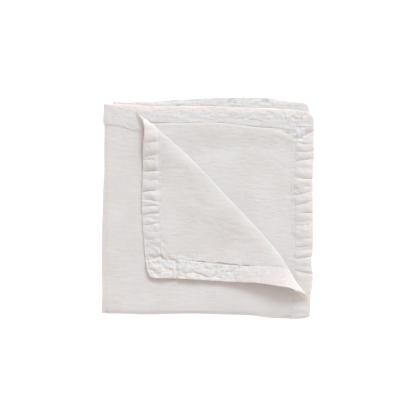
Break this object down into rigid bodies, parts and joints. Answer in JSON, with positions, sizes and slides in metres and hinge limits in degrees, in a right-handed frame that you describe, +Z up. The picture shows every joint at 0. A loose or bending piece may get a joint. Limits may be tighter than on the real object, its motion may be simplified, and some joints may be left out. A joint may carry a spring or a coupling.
{
  "type": "folded table runner",
  "caption": "Washed linen table runner with a gathered frill, folded lengthwise and back and forth into a square, a top corner turned back.",
  "frame": {"origin": "middle of the bundle's foot, on the surface it rests on", "axes": "+Z up; +Y towards the runner's two ends; +X towards its long edges, away from the lengthwise fold"},
  "size_m": [0.2552, 0.266, 0.0291],
  "materials": {
    "linen": "matt washed plain-weave linen, warm off-white",
    "frill_linen": "matt washed plain-weave linen, gathered, warm off-white"
  },
  "bodies": {
    "root": {"linen_panel": "linen", "frill_first_end": "frill_linen", "frill_flap_side": "frill_linen", "frill_under_side": "frill_linen", "frill_last_end": "frill_linen"}
  },
  "joints": []
}
